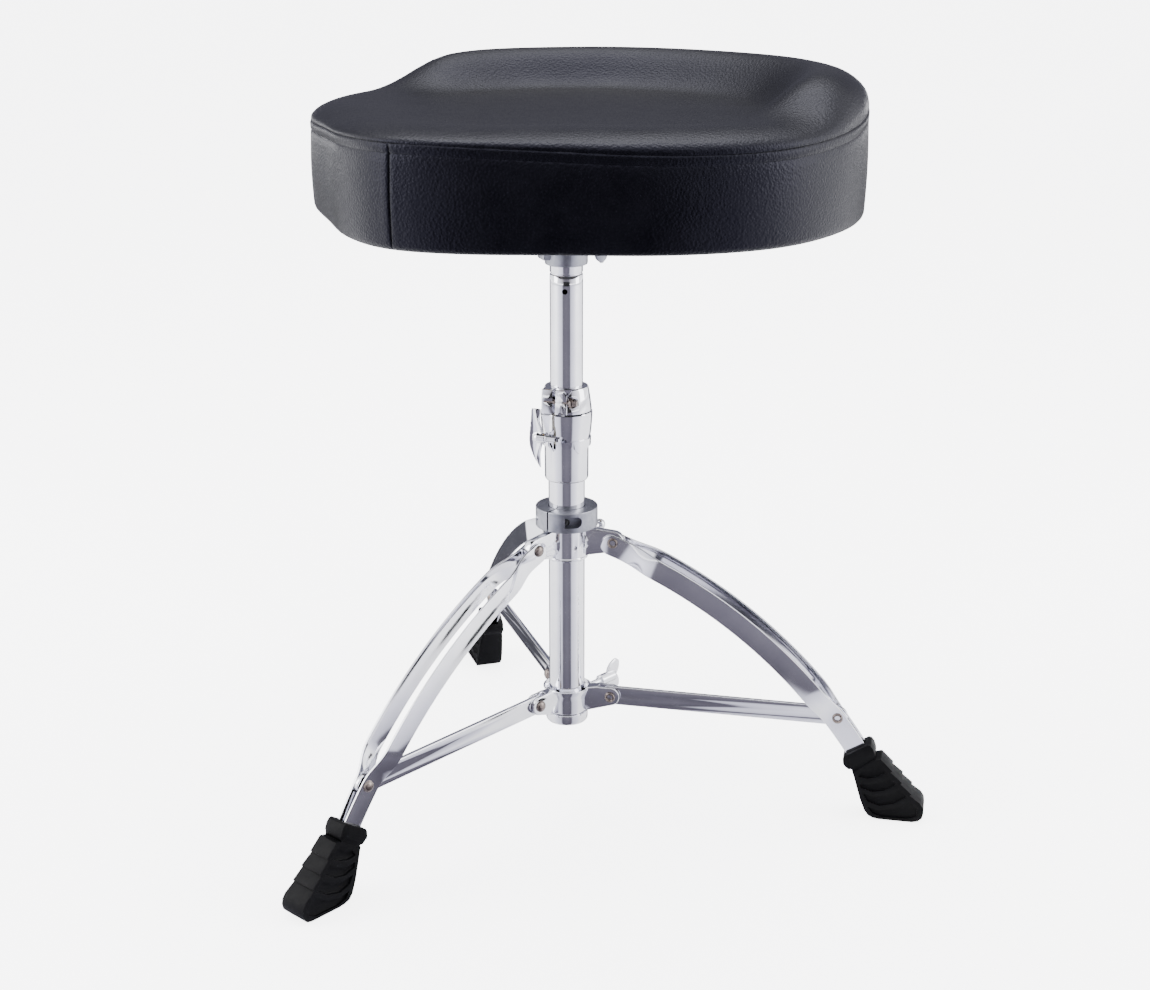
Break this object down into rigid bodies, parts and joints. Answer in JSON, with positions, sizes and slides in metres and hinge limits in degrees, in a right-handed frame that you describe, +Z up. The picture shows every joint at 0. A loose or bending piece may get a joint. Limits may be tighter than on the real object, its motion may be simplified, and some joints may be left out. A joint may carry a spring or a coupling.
{
  "type": "drum throne",
  "caption": "Padded saddle seat in black vinyl on a chromed height-adjustable post with a memory lock, over a folding base of double-bar legs with rubber feet.",
  "frame": {"origin": "on the floor, at the middle of the footprint's bounding box", "axes": "+Z up along the tube; +X and +Y across the footprint, with one leg 12.5 degrees from +X towards -Y"},
  "size_m": [0.4891, 0.5006, 0.579],
  "materials": {
    "chrome": "bright chrome plate",
    "satin_casting": "satin grey, fine cast grain",
    "zinc_steel": "zinc plated",
    "black_screw": "black oxide",
    "nylon": "moulded",
    "vinyl": "black grained vinyl",
    "foam": "open cell foam",
    "plywood": "raw plywood",
    "lining": "black non-woven cloth",
    "rubber": "moulded black rubber"
  },
  "bodies": {
    "base": {"base_tube": "chrome", "end_cap": "chrome", "upper_hub": "chrome", "upper_hub_bolt": "chrome", "stop_collar": "satin_casting", "stop_collar_screw": "black_screw", "height_clamp": "chrome", "clamp_bush": "nylon"},
    "post": {"seat_post": "chrome"},
    "lock": {"memory_lock": "chrome", "memory_lock_bolt": "zinc_steel"},
    "seat": {"seat_cover_top": "vinyl", "seat_cover_band": "vinyl", "seat_foam": "foam", "seat_base_board": "plywood", "seat_lining": "lining", "seat_receiver": "satin_casting", "receiver_bush": "nylon", "receiver_bolt_1": "zinc_steel", "receiver_bolt_2": "zinc_steel", "receiver_bolt_3": "zinc_steel", "receiver_bolt_4": "zinc_steel"},
    "height_wing": {"height_wing_screw": "chrome"},
    "receiver_wing": {"receiver_wing_screw": "satin_casting"},
    "lower_wing": {"lower_wing_screw": "chrome"},
    "lower_hub": {"lower_hub": "chrome", "strut_1_inner_rivet": "zinc_steel", "strut_2_inner_rivet": "zinc_steel", "strut_3_inner_rivet": "zinc_steel"},
    "leg_1": {"leg_1_left_bar": "chrome", "leg_1_right_bar": "chrome", "leg_1_foot": "rubber", "leg_1_hinge_rivet": "zinc_steel", "leg_1_strut_rivet_dome": "zinc_steel", "leg_1_strut_rivet_tail": "zinc_steel"},
    "strut_1": {"strut_1": "chrome"},
    "leg_2": {"leg_2_left_bar": "chrome", "leg_2_right_bar": "chrome", "leg_2_foot": "rubber", "leg_2_hinge_rivet": "zinc_steel", "leg_2_strut_rivet_dome": "zinc_steel", "leg_2_strut_rivet_tail": "zinc_steel"},
    "strut_2": {"strut_2": "chrome"},
    "leg_3": {"leg_3_left_bar": "chrome", "leg_3_right_bar": "chrome", "leg_3_foot": "rubber", "leg_3_hinge_rivet": "zinc_steel", "leg_3_strut_rivet_dome": "zinc_steel", "leg_3_strut_rivet_tail": "zinc_steel"},
    "strut_3": {"strut_3": "chrome"}
  },
  "joints": [
    {"name": "height_adjust", "type": "slide", "parent": "base", "child": "post", "axis": [0, 0, 1], "range_m": [0, 0.08]},
    {"name": "memory_lock_slide", "type": "slide", "parent": "post", "child": "lock", "axis": [0, 0, 1], "range_m": [0, 0.08]},
    {"name": "seat_swivel", "type": "hinge", "parent": "post", "child": "seat", "pos_m": [-0.0407, -0.0293, 0.45], "axis": [0, 0, 1], "continuous": true},
    {"name": "height_wing_turn", "type": "hinge", "parent": "base", "child": "height_wing", "pos_m": [-0.06357, -0.04048, 0.301], "axis": [-0.9511, 0.309, 0], "range_deg": [0, 540]},
    {"name": "receiver_wing_turn", "type": "hinge", "parent": "seat", "child": "receiver_wing", "pos_m": [-0.01472, -0.0143, 0.448], "axis": [0.866, 0.5, 0], "range_deg": [0, 540]},
    {"name": "lower_hub_slide", "type": "slide", "parent": "base", "child": "lower_hub", "axis": [0, 0, 1], "range_m": [0, 0.0895]},
    {"name": "lower_wing_turn", "type": "hinge", "parent": "lower_hub", "child": "lower_wing", "pos_m": [-0.00827, 0.00609, 0.078], "axis": [0.6756, 0.7373, 0], "range_deg": [0, 540]},
    {"name": "leg_1_fold", "type": "hinge", "parent": "base", "child": "leg_1", "pos_m": [-0.0036, -0.03753, 0.215], "axis": [0.2164, 0.9763, 0], "range_deg": [0, 46]},
    {"name": "strut_1_turn", "type": "hinge", "parent": "lower_hub", "child": "strut_1", "pos_m": [-0.00497, -0.03722, 0.0825], "axis": [0.2164, 0.9763, 0], "range_deg": [0, 80.1]},
    {"name": "leg_2_fold", "type": "hinge", "parent": "base", "child": "leg_2", "pos_m": [-0.06637, -0.05732, 0.215], "axis": [0.7373, -0.6756, 0], "range_deg": [0, 46]},
    {"name": "strut_2_turn", "type": "hinge", "parent": "lower_hub", "child": "strut_2", "pos_m": [-0.06543, -0.05628, 0.0825], "axis": [0.7373, -0.6756, 0], "range_deg": [0, 80.1]},
    {"name": "leg_3_fold", "type": "hinge", "parent": "base", "child": "leg_3", "pos_m": [-0.05213, 0.00694, 0.215], "axis": [-0.9537, -0.3007, 0], "range_deg": [0, 46]},
    {"name": "strut_3_turn", "type": "hinge", "parent": "lower_hub", "child": "strut_3", "pos_m": [-0.05171, 0.00561, 0.0825], "axis": [-0.9537, -0.3007, 0], "range_deg": [0, 80.1]}
  ],
  "couplings": [
    {"joint": "leg_1_fold", "follows": "lower_hub_slide", "rad_per_m": 8.97},
    {"joint": "strut_1_turn", "follows": "lower_hub_slide", "rad_per_m": 15.61},
    {"joint": "leg_2_fold", "follows": "lower_hub_slide", "rad_per_m": 8.97},
    {"joint": "strut_2_turn", "follows": "lower_hub_slide", "rad_per_m": 15.61},
    {"joint": "leg_3_fold", "follows": "lower_hub_slide", "rad_per_m": 8.97},
    {"joint": "strut_3_turn", "follows": "lower_hub_slide", "rad_per_m": 15.61}
  ]
}
